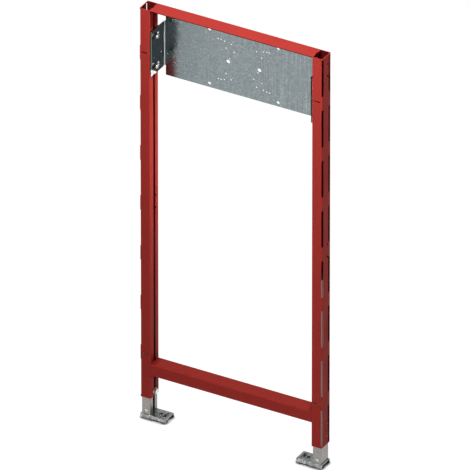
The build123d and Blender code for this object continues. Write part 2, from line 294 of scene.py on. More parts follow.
def beyond_corner(tree, along, low, high):
    """How far a coordinate lies beyond the centre of the nearer rounded corner of an interval."""
    off_middle = without_sign(tree, combine(tree, "SUBTRACT", along, (low + high) / 2))
    return combine(tree, "SUBTRACT", off_middle, (high - low) / 2 - POST_RADIUS)


def depth_under_skin(tree, outward, back):
    """Radius - length(max(q, 0)) - min(max(qx, qy), 0), where q is what lies beyond the corner's centre."""
    x = beyond_corner(tree, outward, POST_LOW.x, POST_HIGH.x)
    y = beyond_corner(tree, back, POST_LOW.y, POST_HIGH.y)
    corner = add_node(tree, "ShaderNodeCombineXYZ", {0: combine(tree, "MAXIMUM", x, 0.0),
                                                     1: combine(tree, "MAXIMUM", y, 0.0)}).outputs[0]
    round_part = add_node(tree, "ShaderNodeVectorMath", {0: corner}, operation="LENGTH").outputs["Value"]
    flat_part = combine(tree, "MINIMUM", combine(tree, "MAXIMUM", x, y), 0.0)
    return combine(tree, "SUBTRACT", POST_RADIUS, combine(tree, "ADD", round_part, flat_part))


print("post section:", [round(v, 4) for v in (POST_HIGH - POST_LOW)[:2]])

# %% [markdown]
# Three more places get painted colour. The front edge of the top rail is a cut edge, and it gets painted
# shade. In the corners where rails meet posts the inner faces get painted shade. Where a leg stands in the
# post, the edges of the windows get painted light. Each place is a product of smooth
# steps along the axes: 1 where all of them hold, and 0 elsewhere.

# %% Places of painted shade and light on the coat
TOP_LOW, TOP_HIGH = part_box("top_rail")
RAIL_LOW, RAIL_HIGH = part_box("bottom_rail")
LEG_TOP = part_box("right_leg")[1].z
# The painted light on the window edges ends here towards the back.
PAINTED_LIGHT_BACK = POST_LOW.y + 29.4 * MM
SHADE_FULL_UNDER_TOP = 20 * MM
SHADE_REACH_UNDER_TOP = 34 * MM
SHADE_FULL_ABOVE_RAIL = 4 * MM
SHADE_REACH_ABOVE_RAIL = 36 * MM
SHADE_ABOVE_SHARE = 0.6
SHADE_FULL_ALONG_RAIL = 2 * MM
SHADE_REACH_ALONG_RAIL = 18 * MM


def all_of(tree, *masks):
    """Masks multiplied with each other: 1 only where every one of them is 1."""
    product = masks[0]
    for mask in masks[1:]:
        product = combine(tree, "MULTIPLY", product, mask)
    return product


def band(tree, value, start, full, fade, end):
    """1 between two places, with a smooth rise from start to full and a smooth fall from fade to end."""
    return all_of(tree, ramp(tree, value, start, full), ramp(tree, value, fade, end, 1.0, 0.0))


def painted_front_edge_shade(tree, outward, axes):
    """Painted shade: 1 on the front edge of the top rail, between the posts."""
    front = ramp(tree, axes["Y"], TOP_LOW.y + 0.1 * MM, TOP_LOW.y + 0.3 * MM, 1.0, 0.0)
    between = ramp(tree, outward, POST_LOW.x - 0.6 * MM, POST_LOW.x - 0.2 * MM, 1.0, 0.0)
    high = ramp(tree, axes["Z"], TOP_HIGH.z - 2.6 * MM, TOP_HIGH.z - 2.2 * MM)
    return all_of(tree, front, between, high)


def painted_corner_shade(tree, outward, axes):
    """Painted shade: 1 on the posts' inner faces under the top rail, less above the low one, and on rails'
    ends.
    """
    under = band(tree, axes["Z"], TOP_LOW.z - SHADE_REACH_UNDER_TOP, TOP_LOW.z - SHADE_FULL_UNDER_TOP,
                 TOP_HIGH.z - 0.6 * MM, TOP_HIGH.z - 0.2 * MM)
    above = band(tree, axes["Z"], RAIL_HIGH.z - 1.2 * MM, RAIL_HIGH.z - 0.2 * MM,
                 RAIL_HIGH.z + SHADE_FULL_ABOVE_RAIL, RAIL_HIGH.z + SHADE_REACH_ABOVE_RAIL)
    height = combine(tree, "MAXIMUM", under, combine(tree, "MULTIPLY", above, SHADE_ABOVE_SHARE))
    inner = band(tree, outward, POST_LOW.x - SHADE_REACH_ALONG_RAIL, POST_LOW.x - SHADE_FULL_ALONG_RAIL,
                 POST_LOW.x + 0.2 * MM, POST_LOW.x + 0.4 * MM)
    behind = ramp(tree, axes["Y"], POST_LOW.y + 1.6 * MM, POST_LOW.y + 2.4 * MM)
    return all_of(tree, height, inner, behind)


def painted_jamb_light(tree, outward, axes):
    """Painted light: 1 in the outer half of a post, as high as the leg reaches and in front of the rear
    windows.
    """
    beside_leg = ramp(tree, axes["Z"], LEG_TOP - 1 * MM, LEG_TOP + 1 * MM, 1.0, 0.0)
    outer_half = ramp(tree, outward, POST_HIGH.x - 12 * MM, POST_HIGH.x - 10 * MM)
    front = ramp(tree, axes["Y"], PAINTED_LIGHT_BACK - 0.5 * MM, PAINTED_LIGHT_BACK, 1.0, 0.0)
    return all_of(tree, beside_leg, outer_half, front)


print("the legs reach up to", round(LEG_TOP, 4))

# %% [markdown]
# Now the coat itself. The powder melts into a satin skin with a slight orange peel, which is
# fine noise as a bump, and it has hardly any gloss. The masks of the last two cells lay the painted
# shade and the painted light over the red.

# %% Red powder coat
COAT_RED = srgb(178, 57, 50)
COAT_DEEP = srgb(174, 55, 49)
# Painted shade inside the profiles and on the cut edges of the windows.
PAINTED_INSIDE_SHADE = srgb(96, 17, 18)
# Painted shade in the corners where the rails meet the posts.
PAINTED_CORNER_SHADE = srgb(112, 20, 22)
# Painted light on the window edges beside the legs.
PAINTED_JAMB_LIGHT = srgb(206, 138, 132)
# Painted shade on the front edge of the top rail.
PAINTED_EDGE_SHADE = srgb(96, 26, 25)
COAT_SATIN = 0.38
COAT_SMUDGED = 0.46
RUB_POLISH = -0.06
COAT_GLOSS = 0.03
SKIN_START = 0.1 * MM
SKIN_END = 0.4 * MM
TOP_EDGE = 0.3 * MM
PEEL_PER_METRE = 520.0
PEEL_HEIGHT = 0.06 * MM
PEEL_STRENGTH = 0.5


def make_powder_coat():
    """Red with smudges, painted shade in corners and inside the profile, painted light beside the legs."""
    material, tree, surface = new_material("red_powder_coat")
    place = place_on_piece(tree)
    axes = split_axes(tree, place)
    outward = without_sign(tree, axes["X"])
    marks = use_group(tree, handling_marks, Smudges_per_Metre=7.0)
    colour = blend_colours(tree, marks["Smudge"], COAT_RED, COAT_DEEP)
    # Painted shade on the top rail's front edge.
    colour = blend_colours(tree, painted_front_edge_shade(tree, outward, axes), colour, PAINTED_EDGE_SHADE)
    # Painted shade in the corners by the rails.
    colour = blend_colours(tree, painted_corner_shade(tree, outward, axes), colour, PAINTED_CORNER_SHADE)
    # Inside the profile: painted shade, and painted light on the window edges beside the legs.
    edge = blend_colours(tree, painted_jamb_light(tree, outward, axes), PAINTED_INSIDE_SHADE, PAINTED_JAMB_LIGHT)
    inside = all_of(tree, ramp(tree, depth_under_skin(tree, outward, axes["Y"]), SKIN_START, SKIN_END),
                    ramp(tree, axes["Z"], POST_HIGH.z - TOP_EDGE, POST_HIGH.z, 1.0, 0.0))
    tree.links.new(blend_colours(tree, inside, colour, edge), surface.inputs["Base Color"])
    rough = ramp(tree, marks["Smudge"], 0.0, 1.0, COAT_SATIN, COAT_SMUDGED)
    rough = combine(tree, "ADD", rough, combine(tree, "MULTIPLY", marks["Rub"], RUB_POLISH))
    tree.links.new(rough, surface.inputs["Roughness"])
    bump = add_node(tree, "ShaderNodeBump", {"Height": noise(tree, place, PEEL_PER_METRE, 1.0),
                                             "Strength": PEEL_STRENGTH, "Distance": PEEL_HEIGHT})
    tree.links.new(bump.outputs["Normal"], surface.inputs["Normal"])
    surface.inputs["Specular IOR Level"].default_value = COAT_GLOSS
    return material


powder_coat = make_powder_coat()
dress(powder_coat, RED_PIECES)
print("coat:", powder_coat.name, "nodes:", len(powder_coat.node_tree.nodes))

# %% [markdown]
# All zinc finishes are one recipe: a metal whose shade, roughness and tilt follow the crystals, clouded
# by handling, with a bright speck here and there. The plate mirrors its surroundings, the legs are dull,
# the feet bright, and the plated fasteners have almost no crystals. Each call gives the two shades, the
# crystal size and the roughness, so the finishes differ by a few numbers only.

# %% Zinc finishes
SPECK = srgb(226, 230, 230)
SPECK_START = 0.93
SPECK_FULL = 0.97
CLOUD_FULL = 0.6


def make_zinc(name, light, dark, crystals, tilt, rough, dull, specks=0.0, worn=0.35, rubs=420.0):
    """Metal between two shades by crystal; dull is the roughness that smudges and frost can add."""
    material, tree, surface = new_material(name)
    zinc = use_group(tree, zinc_crystals, Crystals_per_Metre=crystals, Tilt=tilt)
    marks = use_group(tree, handling_marks, Rubs_per_Metre=rubs)
    colour = blend_colours(tree, zinc["Shade"], dark, light)
    colour = blend_colours(tree, combine(tree, "MULTIPLY", marks["Rub"], worn), colour, light)
    bright = combine(tree, "MULTIPLY", ramp(tree, zinc["Shade"], SPECK_START, SPECK_FULL), specks)
    colour = blend_colours(tree, bright, colour, SPECK)
    tree.links.new(colour, surface.inputs["Base Color"])
    cloud = combine(tree, "MULTIPLY", marks["Smudge"], zinc["Frost"])
    tree.links.new(ramp(tree, cloud, 0.0, CLOUD_FULL, rough, rough + dull), surface.inputs["Roughness"])
    tree.links.new(zinc["Normal"], surface.inputs["Normal"])
    surface.inputs["Metallic"].default_value = 1.0
    return material, tree, surface


leg_zinc = make_zinc("galvanised_leg", srgb(160, 157, 153), srgb(134, 131, 127), crystals=700.0,
                     tilt=0.05, rough=0.34, dull=0.14, worn=0.9, rubs=220.0)[0]
foot_zinc = make_zinc("galvanised_foot", srgb(196, 199, 199), srgb(128, 131, 131), crystals=210.0,
                      tilt=0.22, rough=0.36, dull=0.1)[0]
fastener_zinc = make_zinc("zinc_fastener", srgb(222, 222, 216), srgb(205, 205, 198), crystals=500.0,
                          tilt=0.03, rough=0.2, dull=0.1)[0]
for side in SIDES:
    dress(leg_zinc, [f"{side}_leg"])
    dress(foot_zinc, [f"{side}_foot"])
    dress(fastener_zinc, [f"{side}_foot_screw", f"{side}_clamp_bolt", f"{side}_clamp_plate"])
    dress(fastener_zinc, [f"{side}_{level}_bracket_{kind}" for level in LEVELS for kind in ("bolt", "nut")])
print("zinc finishes:", [m.name for m in (leg_zinc, foot_zinc, fastener_zinc)])

# %% [markdown]
# The plate is cut from a wide galvanised strip. Its spangle is fine, and it still shows the rolls:
# thin lines along the rolling direction, strongest near the strip's edge at the right. The lines are
# noise that is squeezed along X and stretched along Z. Towards the left, next to the bracket, the
# zinc gets painted shade and looks a little darker.

# %% Plate zinc
LINES_PER_METRE = 260.0
LINE_STRETCH = (1.0, 0.0, 0.03)
LIGHT_LINE = srgb(192, 199, 200)
LIGHT_LINE_RANGE = (0.52, 0.68)
DARK_LINE_AND_SHADE = srgb(96, 106, 109)
DARK_LINE_RANGE = (0.48, 0.34)
LINES_GROW = (-0.02, 0.11)
LINE_STRENGTHS = (0.06, 0.24)
PAINTED_SHADE_START = -0.06
PAINTED_SHADE_FULL = -0.19
PAINTED_SHADE_SHARE = 0.3


def make_plate_zinc():
    """Zinc with light and dark roll lines that grow stronger along X, and painted shade at the left end."""
    material, tree, surface = make_zinc("galvanised_plate", srgb(150, 159, 161), srgb(128, 138, 141),
                                        crystals=330.0, tilt=0.03, rough=0.17, dull=0.1, specks=0.15,
                                        worn=0.5)
    place = place_on_piece(tree)
    along = split_axes(tree, place)["X"]
    lines = noise(tree, combine_vectors(tree, "MULTIPLY", place, LINE_STRETCH), LINES_PER_METRE, 2.0)
    strength = ramp(tree, along, *LINES_GROW, *LINE_STRENGTHS)
    light = all_of(tree, ramp(tree, lines, *LIGHT_LINE_RANGE), strength)
    dark = all_of(tree, ramp(tree, lines, *DARK_LINE_RANGE), strength)
    # Painted shade towards the left end, next to the bracket, in the dark line colour.
    dull = ramp(tree, along, PAINTED_SHADE_FULL, PAINTED_SHADE_START, PAINTED_SHADE_SHARE, 0.0)
    colour = surface.inputs["Base Color"].links[0].from_socket
    colour = blend_colours(tree, light, colour, LIGHT_LINE)
    # Dark roll lines, and the painted shade at the left end.
    colour = blend_colours(tree, combine(tree, "ADD", dark, dull), colour, DARK_LINE_AND_SHADE)
    tree.links.new(colour, surface.inputs["Base Color"])
    return material


plate_zinc = make_plate_zinc()
dress(plate_zinc, ["mounting_plate"])
print("plate:", plate_zinc.name)

# %% [markdown]
# The brackets are of the same zinc, but dark and smooth. Where the sheet is folded it gets a painted
# highlight and more roughness, and the cut front edge is bare steel. Both are bands in Y at the two ends of
# the web, so two smooth steps find them.

# %% Bracket zinc
BRACKET_LOW, BRACKET_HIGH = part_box("left_bracket")
# Painted highlight along the fold.
PAINTED_FOLD_HIGHLIGHT = srgb(250, 252, 250)
FOLD_ROUGHNESS = 0.45
FOLD_FRONT = BRACKET_HIGH.y - 8.0 * MM
FOLD_BACK = BRACKET_HIGH.y - 3.4 * MM
CUT_EDGE = srgb(150, 147, 132)
EDGE_BACK = BRACKET_LOW.y + 0.6 * MM
WEB_THICKNESS = 2.0 * MM
WEB_FACE = -BRACKET_LOW.x - WEB_THICKNESS


def make_bracket_zinc():
    """Dark zinc with a painted highlight on the fold and a bare front edge on the web's inner side."""
    material, tree, surface = make_zinc("galvanised_bracket", srgb(90, 99, 102), srgb(75, 83, 86),
                                        crystals=160.0, tilt=0.05, rough=0.2, dull=0.12)
    axes = split_axes(tree, place_on_piece(tree))
    back = axes["Y"]
    fold = band(tree, back, FOLD_FRONT, FOLD_FRONT + 1.2 * MM, FOLD_BACK, FOLD_BACK + 0.6 * MM)
    cut = ramp(tree, back, EDGE_BACK - 0.4 * MM, EDGE_BACK, 1.0, 0.0)
    outward = without_sign(tree, axes["X"])
    inner_side = ramp(tree, outward, WEB_FACE + 0.8 * MM, WEB_FACE + 1.3 * MM, 1.0, 0.0)
    dark = surface.inputs["Base Color"].links[0].from_socket
    # Painted highlight on the fold.
    colour = blend_colours(tree, fold, dark, PAINTED_FOLD_HIGHLIGHT)
    colour = blend_colours(tree, all_of(tree, cut, inner_side), colour, CUT_EDGE)
    tree.links.new(colour, surface.inputs["Base Color"])
    smooth = surface.inputs["Roughness"].links[0].from_socket
    rubbed = add_node(tree, "ShaderNodeMix", {0: fold, 2: smooth, 3: FOLD_ROUGHNESS}).outputs[0]
    tree.links.new(rubbed, surface.inputs["Roughness"])
    return material


bracket_zinc = make_bracket_zinc()
for side in SIDES:
    dress(bracket_zinc, [f"{side}_bracket"] + [f"{side}_{level}_bracket_washer" for level in LEVELS])
print("bright fold from", round(FOLD_FRONT, 4), "to", round(FOLD_BACK, 4))

# %% [markdown]
# A white sheet lies between each bracket and its post and keeps metal from metal. Its face is a matt film
# with faint fibres, and its cut edges are nearly black. Face and edge look different ways: the face's
# normal points along X, the edge's does not.

# %% White pad
FIBRES_PER_METRE = 900.0
FIBRE_HEIGHT = 0.1 * MM
FIBRE_STRENGTH = 0.4
FIBRE_RANGE = (0.3, 0.7)
FILM_FACING = (0.4, 0.6)
FILM_COLOURS = (srgb(253, 252, 250), srgb(244, 241, 239))
DARK_EDGE_COLOURS = (srgb(14, 8, 6), srgb(8, 5, 4))
PAD_ROUGHNESS = (0.55, 0.8)
PAD_GLOSS = 0.2


def make_pad():
    """White film where the normal points along X, near black elsewhere, both with fine fibres."""
    material, tree, surface = new_material("white_pad")
    facing = add_node(tree, "ShaderNodeNewGeometry").outputs["Normal"]
    film = ramp(tree, without_sign(tree, split_axes(tree, facing)["X"]), *FILM_FACING)
    fibres = noise(tree, place_on_piece(tree), FIBRES_PER_METRE, 3.0)
    face = blend_colours(tree, fibres, *FILM_COLOURS)
    dark_edge = blend_colours(tree, fibres, *DARK_EDGE_COLOURS)
    tree.links.new(blend_colours(tree, film, dark_edge, face), surface.inputs["Base Color"])
    tree.links.new(ramp(tree, fibres, *FIBRE_RANGE, *PAD_ROUGHNESS), surface.inputs["Roughness"])
    bump = add_node(tree, "ShaderNodeBump", {"Height": fibres, "Strength": FIBRE_STRENGTH,
                                             "Distance": FIBRE_HEIGHT})
    tree.links.new(bump.outputs["Normal"], surface.inputs["Normal"])
    surface.inputs["Specular IOR Level"].default_value = PAD_GLOSS
    return material


pad_white = make_pad()
dress(pad_white, [f"{side}_bracket_pad" for side in SIDES])
print("pads:", pad_white.name)

# %% [markdown]
# The formed pieces are surfaces over two parameters: a grid of points, worked out at once as a numpy
# array, whose columns close into a ring. One helper turns such grids into a mesh. It merges the
# points that fall together at a pole, so the surface is closed there, turns the faces outwards, and
# hands the piece to its body and finish.

# %% Helpers for surfaces
SHARP_ANGLE = math.radians(32)
MERGE_DISTANCE = 1e-6


def grid_faces(rows, columns):
    """Corner numbers of the quads of a grid whose last column joins the first."""
    row = np.arange(rows - 1)[:, None]
    column = np.arange(columns)[None, :]
    following = (column + 1) % columns
    corners = (row * columns + column, row * columns + following,
               (row + 1) * columns + following, (row + 1) * columns + column)
    return np.stack(np.broadcast_arrays(*corners), axis=-1).reshape(-1, 4)


def new_piece(name, grids, body, material):
    """One mesh from grids of points, each an array of rows, columns and coordinates."""
    sizes = [grid.shape[0] * grid.shape[1] for grid in grids]
    starts = np.concatenate(([0], np.cumsum(sizes)[:-1]))
    points = np.concatenate([grid.reshape(-1, 3) for grid in grids])
    faces = [grid_faces(*grid.shape[:2]) + start for grid, start in zip(grids, starts)]
    mesh = bpy.data.meshes.new(name)
    mesh.from_pydata(points.tolist(), [], np.concatenate(faces).tolist())
    shape = bmesh.new()
    shape.from_mesh(mesh)
    bmesh.ops.remove_doubles(shape, verts=shape.verts, dist=MERGE_DISTANCE)
    bmesh.ops.recalc_face_normals(shape, faces=shape.faces)
    shape.to_mesh(mesh)
    shape.free()
    mesh.shade_smooth()
    mesh.set_sharp_from_angle(angle=SHARP_ANGLE)
    mesh.materials.append(material)
    piece = bpy.data.objects.new(name, mesh)
    bpy.context.collection.objects.link(piece)
    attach(piece, body)
    return piece


def turned(x, radius, centre):
    """Surface about a line along X: at station x and angle a the point is (x, y + r sin a, z + r cos a)."""
    angle = np.linspace(0, 2 * np.pi, radius.shape[1], endpoint=False)
    across = centre.y + radius * np.sin(angle)
    upward = centre.z + radius * np.cos(angle)
    return np.stack(np.broadcast_arrays(x[:, None], across, upward), axis=-1)


print("quads of a 3 by 4 ring:", len(grid_faces(3, 4)))

# %% [markdown]
# A hexagon nut is turned from a bar: the lathe's chamfer cuts the six corners, which gives
# the curved line at each flat. In numbers that is simple: the radius in each direction is
# the smaller of the hexagon's and the chamfer cone's. The bracket nuts of the model are
# plain prisms, and these replace them.

# %% Bracket nuts
ROUND_STEPS = 72
BORE_BEVEL = 0.6 * MM
BOLT_RADIUS = 4.0 * MM
CHAMFER = math.radians(30)
CHAMFER_STEPS = 5
FACE_SHARE = 0.475


def hexagon(across_flats, angle):
    """Distance from the axis to a hexagon's side: half the flats over the cosine of the angle to it."""
    sixth = np.pi / 3
    return across_flats / 2 / np.cos(angle % sixth - sixth / 2)


def chamfer_steps(across_flats):
    """Depths and radii of a 30 degree cone from the round face of a nut out to its corners."""
    face = FACE_SHARE * across_flats
    slope = math.tan(CHAMFER)
    depth = np.linspace(0, (across_flats / math.sqrt(3) - face) * slope, CHAMFER_STEPS)
    return depth, face + depth / slope


def nut_surface(low, high):
    """Closed ring: outside the smaller of hexagon and cone, inside the bore with bevelled mouths."""
    flats = high.y - low.y
    height = high.x - low.x
    depth, cone = chamfer_steps(flats)
    x = np.concatenate(([0], depth, height - depth[::-1], [height, height - BORE_BEVEL, BORE_BEVEL, 0]))
    mouth = BOLT_RADIUS + BORE_BEVEL
    limit = np.concatenate(([mouth], cone, cone[::-1], [mouth, BOLT_RADIUS, BOLT_RADIUS, mouth]))
    angle = np.linspace(0, 2 * np.pi, ROUND_STEPS, endpoint=False)
    radius = np.minimum(hexagon(flats, angle)[None, :], limit[:, None])
    return turned(low.x + x, radius, (low + high) / 2)


for side in SIDES:
    for level in LEVELS:
        plain = f"{side}_{level}_bracket_nut"
        nut = new_piece(f"{side}_{level}_formed_nut", [nut_surface(*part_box(plain))], "frame",
                        fastener_zinc)
        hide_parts(plain)
NUT_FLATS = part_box(plain)[1].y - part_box(plain)[0].y
print("nut across flats:", round(NUT_FLATS, 4), "triangles:", 2 * len(nut.data.polygons))

# %% [markdown]
# The bolts have rolled threads. A thread is a cylinder whose radius swings once per pitch, and the swing
# moves on by one pitch for each turn: r = crest - depth (1 - cos(2 pi x / pitch - a)) / 2. A cone at the
# tip ends it. The hammer heads behind the post's lips are forged, so they are soft blocks, superellipsoids.

# %% Hammer-head bolts
PITCH = 1.25 * MM
THREAD_DEPTH = 0.65 * MM
STEPS_PER_PITCH = 10
TIP_SHARE = 0.7
LIP_THICKNESS = 2.0 * MM
BLOCK_POWER = 0.2
BLOCK_ROWS = 25
BLOCK_COLUMNS = 48


def thread_surface(start, tip, centre):
    """Threaded shank along X: swinging radius under a 45 degree cone at the tip, closed by two poles."""
    length = abs(tip - start)
    along = np.linspace(0, length, int(length / PITCH * STEPS_PER_PITCH))[:, None]
    angle = np.linspace(0, 2 * np.pi, ROUND_STEPS // 2, endpoint=False)[None, :]
    radius = BOLT_RADIUS - THREAD_DEPTH * (1 - np.cos(2 * np.pi * along / PITCH - angle)) / 2
    radius = np.minimum(radius, TIP_SHARE * BOLT_RADIUS + length - along)
    pole = np.zeros((1, radius.shape[1]))
    x = start + np.sign(tip - start) * np.concatenate(([0], along[:, 0], [length]))
    return turned(x, np.concatenate((pole, radius, pole)), centre)


def signed_power(value):
    """The value's size raised to the block's power, with its sign kept."""
    return np.sign(value) * np.abs(value) ** BLOCK_POWER


def block_surface(low, high):
    """Soft block: half sizes times signed powers of cosine and sine of two angles, about the middle."""
    tilt = np.linspace(-np.pi / 2, np.pi / 2, BLOCK_ROWS)[:, None]
    turn = np.linspace(0, 2 * np.pi, BLOCK_COLUMNS, endpoint=False)[None, :]
    waist = signed_power(np.cos(tilt))
    unit = np.broadcast_arrays(waist * signed_power(np.cos(turn)), waist * signed_power(np.sin(turn)),
                               signed_power(np.sin(tilt)))
    return np.array((low + high) / 2) + np.stack(unit, axis=-1) * np.array((high - low) / 2)


for side in SIDES:
    for level in LEVELS:
        plain = f"{side}_{level}_bracket_bolt"
        low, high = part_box(plain)
        lips = math.copysign(POST_LOW.x + LIP_THICKNESS, low.x)
        tip, far = (high.x, low.x) if side == "left" else (low.x, high.x)
        head = block_surface(Vector((min(lips, far), low.y, low.z)),
                             Vector((max(lips, far), high.y, high.z)))
        shank = thread_surface(lips, tip, (low + high) / 2)
        bolt = new_piece(f"{side}_{level}_threaded_bolt", [head, shank], "frame",
                         fastener_zinc)
        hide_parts(plain)
print("threaded bolt triangles:", 2 * len(bolt.data.polygons))

# %% [markdown]
# A collar bolt at the lower end of each post draws the clamp plate against the leg. Its head joins what
# the last two cells made: a turned collar, a chamfered hexagon with a shallow dish, and a threaded shank.

# %% Clamp bolts
WASHER_LOW, WASHER_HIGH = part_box("left_lower_bracket_washer")
COLLAR_THICKNESS = WASHER_HIGH.x - WASHER_LOW.x
COLLAR_EDGE = 0.35 * MM
COLLAR_ROWS = 5
DISH_DEPTH = 0.5 * MM
DISH_SHARE = 0.6


def collar_head(seat, height, collar_radius, direction, centre):
    """From pole to pole: collar with soft edges, hexagon side, chamfer cone, round face and dish."""
    depth, cone = chamfer_steps(NUT_FLATS)
    rounded = collar_radius - COLLAR_EDGE
    dish = height - DISH_DEPTH
    x = np.concatenate(([0, 0, COLLAR_EDGE, COLLAR_THICKNESS - COLLAR_EDGE, COLLAR_THICKNESS,
                         COLLAR_THICKNESS], height - depth[::-1], [dish, dish]))
    limit = np.concatenate(([0, rounded, collar_radius, collar_radius, rounded, cone[-1]], cone[::-1],
                            [DISH_SHARE * cone[0], 0]))
    angle = np.linspace(0, 2 * np.pi, ROUND_STEPS, endpoint=False)
    six_sided = np.arange(len(x))[:, None] >= COLLAR_ROWS
    side_radius = np.where(six_sided, hexagon(NUT_FLATS, angle)[None, :], collar_radius)
    return turned(seat + direction * x, np.minimum(side_radius, limit[:, None]), centre)


for side in SIDES:
    plain = f"{side}_clamp_bolt"
    low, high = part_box(plain)
    direction = 1 if side == "left" else -1
    seat = -direction * POST_LOW.x
    top, tip = (high.x, low.x) if side == "left" else (low.x, high.x)
    middle = (low + high) / 2
    head = collar_head(seat, abs(top - seat), (high.y - low.y) / 2, direction, middle)
    bolt = new_piece(f"{side}_collar_bolt", [head, thread_surface(seat, tip, middle)], "frame",
                     fastener_zinc)
    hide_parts(plain)
print("collar bolt head height:", round(abs(top - seat), 4))

# %% [markdown]
# The screw that holds each leg on its foot has a low dome with a cross recess. Its face is a height
# over the polar grid: the dome falls with the square of the radius, and inside the cross the face
# drops by the recess depth. The leg is pressed round the hole, which leaves a low ring; it stands less
# high than the leg's play in the post.

# %% Foot screws and pressed rings
DOME_RISE = 0.7 * MM
RECESS_DEPTH = 1.1 * MM
RECESS_HALF_WIDTH = 0.65 * MM
RECESS_REACH = 2.5 * MM
SHANK_RADIUS = 2.4 * MM
HEAD_HEIGHT = 1.6 * MM
HEAD_ROWS = 26
HEAD_COLUMNS = 96
RING_RADIUS = 6.4 * MM
RING_HALF_WIDTH = 1.0 * MM
RING_RISE = 0.3 * MM
PATH_STEPS = 65
RING_SWINGS = 16


def screw_surface(low, high):
    """About a line along Y: domed face less the cross recess, edge of the head, seat, shank and end."""
    middle = (low + high) / 2
    head_radius = (high.x - low.x) / 2
    angle = np.linspace(0, 2 * np.pi, HEAD_COLUMNS, endpoint=False)[None, :]
    reach = np.linspace(0, head_radius, HEAD_ROWS)[:, None]
    narrow = np.minimum(np.abs(reach * np.cos(angle)), np.abs(reach * np.sin(angle)))
    inside = (narrow < RECESS_HALF_WIDTH) & (reach < RECESS_REACH)
    face = low.y - DOME_RISE * (1 - (reach / head_radius) ** 2) + RECESS_DEPTH * inside
    seat = low.y + HEAD_HEIGHT
    radius = np.concatenate((reach[:, 0], [head_radius, SHANK_RADIUS, SHANK_RADIUS, 0]))[:, None]
    rest = np.repeat(np.array([[seat], [seat], [high.y], [high.y]]), face.shape[1], axis=1)
    depth = np.concatenate((face, rest))
    return np.stack(np.broadcast_arrays(middle.x + radius * np.cos(angle), depth,
                                        middle.z + radius * np.sin(angle)), axis=-1)


def ring_surface(middle, face_y):
    """Flat torus about a line along Y: a circle that carries an ellipse, half of it above the face."""
    turn = np.linspace(0, 2 * np.pi, PATH_STEPS)[:, None]
    swing = np.linspace(0, 2 * np.pi, RING_SWINGS, endpoint=False)[None, :]
    radius = RING_RADIUS + RING_HALF_WIDTH * np.cos(swing)
    return np.stack(np.broadcast_arrays(middle.x + radius * np.cos(turn),
                                        face_y + RING_RISE * np.sin(swing),
                                        middle.z + radius * np.sin(turn)), axis=-1)


for side in SIDES:
    plain = f"{side}_foot_screw"
    low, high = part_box(plain)
    screw = new_piece(f"{side}_cross_screw", [screw_surface(low, high)], f"{side}_leg_unit",
                      fastener_zinc)
    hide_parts(plain)
    new_piece(f"{side}_leg_ring", [ring_surface((low + high) / 2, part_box(f"{side}_leg")[0].y)],
              f"{side}_leg_unit", leg_zinc)
print("screw triangles:", 2 * len(screw.data.polygons))

# %% [markdown]
# The press that punches the anchor slots also raises a bead round each of them, which stiffens the foot.
# A slot's outline is two half circles joined by straight lines; in one formula, the circle's centre is
# moved forward or back by the sign of the sine. The bead is an ellipse carried along that path.

# %% Beads round the anchor slots
SLOT_PLACES = (45.0 * MM, 58.0 * MM)
SLOT_LENGTHS = (12.0 * MM, 24.0 * MM)
SLOT_WIDTH = 8.0 * MM
BEAD_OFFSET = 1.1 * MM
BEAD_HALF_WIDTH = 1.0 * MM
BEAD_RISE = 0.6 * MM
BEAD_SWINGS = 14
OFF_ZERO = 1e-4


def slot_bead(x, y, z, length):
    """Ellipse round a slot: centre + (0, +-straight) + (r + w cos s) (cos a, sin a), height h sin s."""
    turn = np.linspace(0, 2 * np.pi, PATH_STEPS)[:, None] + OFF_ZERO
    swing = np.linspace(0, 2 * np.pi, BEAD_SWINGS, endpoint=False)[None, :]
    radius = SLOT_WIDTH / 2 + BEAD_OFFSET + BEAD_HALF_WIDTH * np.cos(swing)
    straight = np.sign(np.sin(turn)) * (length - SLOT_WIDTH) / 2
    return np.stack(np.broadcast_arrays(x + radius * np.cos(turn), y + straight + radius * np.sin(turn),
                                        z + BEAD_RISE * np.sin(swing)), axis=-1)


for side in SIDES:
    low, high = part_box(f"{side}_foot")
    direction = 1 if side == "left" else -1
    outer = low.x if side == "left" else high.x
    web_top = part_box(f"{side}_leg")[0].z
    beads = [slot_bead(outer + direction * place, (low.y + high.y) / 2, web_top, length)
             for place, length in zip(SLOT_PLACES, SLOT_LENGTHS)]
    bead = new_piece(f"{side}_slot_beads", beads, f"{side}_leg_unit", foot_zinc)
print("bead triangles:", 2 * len(bead.data.polygons))

# %% [markdown]
# The rails are welded to the posts before the frame is coated, so the seams are red. A seam is an
# ellipse carried along a straight line: its size ripples where the drops of metal froze one after the
# other, and it fades to a point at both ends.

# %% Weld seams
RIPPLE = 2.4 * MM
SEAM_HALF = 1.7 * MM
SEAM_END = 3.0 * MM
MOUTH_HALF = 5.5 * MM
SHEET = 2.0 * MM
SEAM_SWINGS = 14
SEAM_ROWS = 12
ROWS_PER_RIPPLE = 6
RIPPLE_SHARE = 0.12
FADE_POWER = 8
UPRIGHT_SHARE = 0.8


def seam(start, end, first, second):
    """Rippled ellipse along a line: start + t (end - start) + size(t) (first cos a + second sin a)."""
    start, end, first, second = (np.array(v) for v in (start, end, first, second))
    length = np.linalg.norm(end - start)
    along = np.linspace(0, 1, max(SEAM_ROWS, int(length / RIPPLE * ROWS_PER_RIPPLE)))[:, None, None]
    angle = np.linspace(0, 2 * np.pi, SEAM_SWINGS, endpoint=False)[None, :, None]
    fade = np.sqrt(np.clip(1 - (2 * along - 1) ** FADE_POWER, 0, 1))
    size = fade * (1 + RIPPLE_SHARE * np.cos(2 * np.pi * along * length / RIPPLE))
    return start + along * (end - start) + size * (first * np.cos(angle) + second * np.sin(angle))


